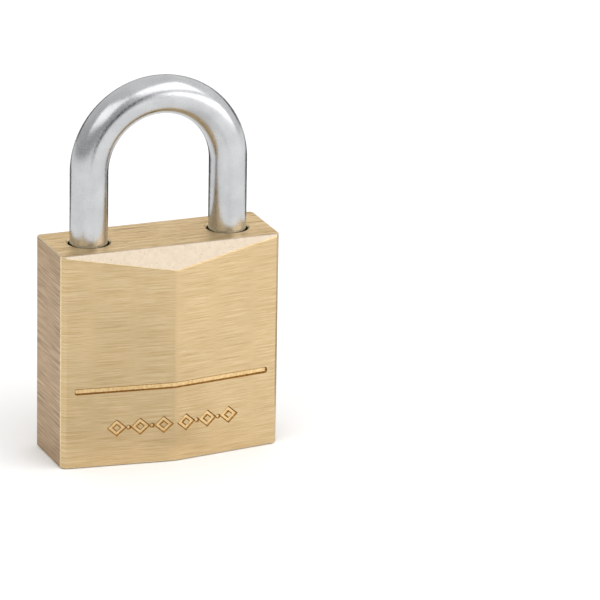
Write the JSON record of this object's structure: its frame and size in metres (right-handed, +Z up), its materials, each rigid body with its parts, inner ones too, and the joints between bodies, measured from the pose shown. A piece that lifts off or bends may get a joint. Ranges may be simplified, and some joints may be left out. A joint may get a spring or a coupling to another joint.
{
  "type": "padlock",
  "caption": "Small brass-bodied keyed padlock with a six-sided body, a bevelled top edge and a plated steel shackle that lifts when the key is turned.",
  "frame": {"origin": "middle of the base, under the middle of the overall box", "axes": "+Z up along the shackle, +X across the width towards the shackle's short leg (the toe), -Y out of the front face"},
  "size_m": [0.03, 0.0138, 0.0502],
  "materials": {
    "satin_brass": "satin, brushed across the width",
    "turned_brass": "turned",
    "pin_brass": "bright turned",
    "plated_steel": "bright plated",
    "plain_steel": "plain",
    "spring_steel": "drawn wire"
  },
  "bodies": {
    "case": {"body": "satin_brass", "plug_retaining_pin": "plain_steel", "bolt_bore_cap": "satin_brass", "shackle_spring": "spring_steel", "chamber_cap_1": "satin_brass", "chamber_cap_2": "satin_brass", "chamber_cap_3": "satin_brass", "chamber_cap_4": "satin_brass", "driver_spring_1": "spring_steel", "driver_spring_2": "spring_steel", "driver_spring_3": "spring_steel", "driver_spring_4": "spring_steel", "heel_bolt_spring": "spring_steel", "toe_bolt_spring": "spring_steel"},
    "shackle": {"shackle": "plated_steel"},
    "plug": {"plug": "turned_brass", "plug_cam": "plain_steel"},
    "heel_bolt": {"heel_bolt": "plain_steel"},
    "toe_bolt": {"toe_bolt": "plain_steel"},
    "key_pin_1": {"key_pin_1": "pin_brass"},
    "key_pin_2": {"key_pin_2": "pin_brass"},
    "key_pin_3": {"key_pin_3": "pin_brass"},
    "key_pin_4": {"key_pin_4": "pin_brass"},
    "driver_pin_1": {"driver_pin_1": "pin_brass"},
    "driver_pin_2": {"driver_pin_2": "pin_brass"},
    "driver_pin_3": {"driver_pin_3": "pin_brass"},
    "driver_pin_4": {"driver_pin_4": "pin_brass"}
  },
  "joints": [
    {"name": "shackle_lift", "type": "slide", "parent": "case", "child": "shackle", "axis": [0, 0, 1], "range_m": [0, 0.0104], "deforming": ["shackle_spring"]},
    {"name": "plug_turn", "type": "hinge", "parent": "case", "child": "plug", "pos_m": [0, 0, 0], "axis": [0, 0, 1], "range_deg": [-90, 0]},
    {"name": "heel_bolt_slide", "type": "slide", "parent": "case", "child": "heel_bolt", "axis": [-1, 0, 0], "range_m": [0, 0.0008], "deforming": ["heel_bolt_spring"]},
    {"name": "toe_bolt_slide", "type": "slide", "parent": "case", "child": "toe_bolt", "axis": [1, 0, 0], "range_m": [0, 0.0013], "deforming": ["toe_bolt_spring"]},
    {"name": "key_pin_1_slide", "type": "slide", "parent": "plug", "child": "key_pin_1", "axis": [0, -1, 0], "range_m": [0, 0.0022]},
    {"name": "key_pin_2_slide", "type": "slide", "parent": "plug", "child": "key_pin_2", "axis": [0, -1, 0], "range_m": [0, 0.0009]},
    {"name": "key_pin_3_slide", "type": "slide", "parent": "plug", "child": "key_pin_3", "axis": [0, -1, 0], "range_m": [0, 0.0017]},
    {"name": "key_pin_4_slide", "type": "slide", "parent": "plug", "child": "key_pin_4", "axis": [0, -1, 0], "range_m": [0, 0.0013]},
    {"name": "driver_pin_1_slide", "type": "slide", "parent": "case", "child": "driver_pin_1", "axis": [1, 0, 0], "range_m": [0, 0.0016], "stiffness_N_per_m": 30, "springref_m": -0.0005, "deforming": ["driver_spring_1"]},
    {"name": "driver_pin_2_slide", "type": "slide", "parent": "case", "child": "driver_pin_2", "axis": [1, 0, 0], "range_m": [0, 0.0016], "stiffness_N_per_m": 30, "springref_m": -0.0005, "deforming": ["driver_spring_2"]},
    {"name": "driver_pin_3_slide", "type": "slide", "parent": "case", "child": "driver_pin_3", "axis": [1, 0, 0], "range_m": [0, 0.0016], "stiffness_N_per_m": 30, "springref_m": -0.0005, "deforming": ["driver_spring_3"]},
    {"name": "driver_pin_4_slide", "type": "slide", "parent": "case", "child": "driver_pin_4", "axis": [1, 0, 0], "range_m": [0, 0.0016], "stiffness_N_per_m": 30, "springref_m": -0.0005, "deforming": ["driver_spring_4"]}
  ],
  "couplings": [
    {"joint": "heel_bolt_slide", "follows": "plug_turn", "m_per_rad": -0.000509},
    {"joint": "toe_bolt_slide", "follows": "plug_turn", "m_per_rad": -0.000827}
  ]
}
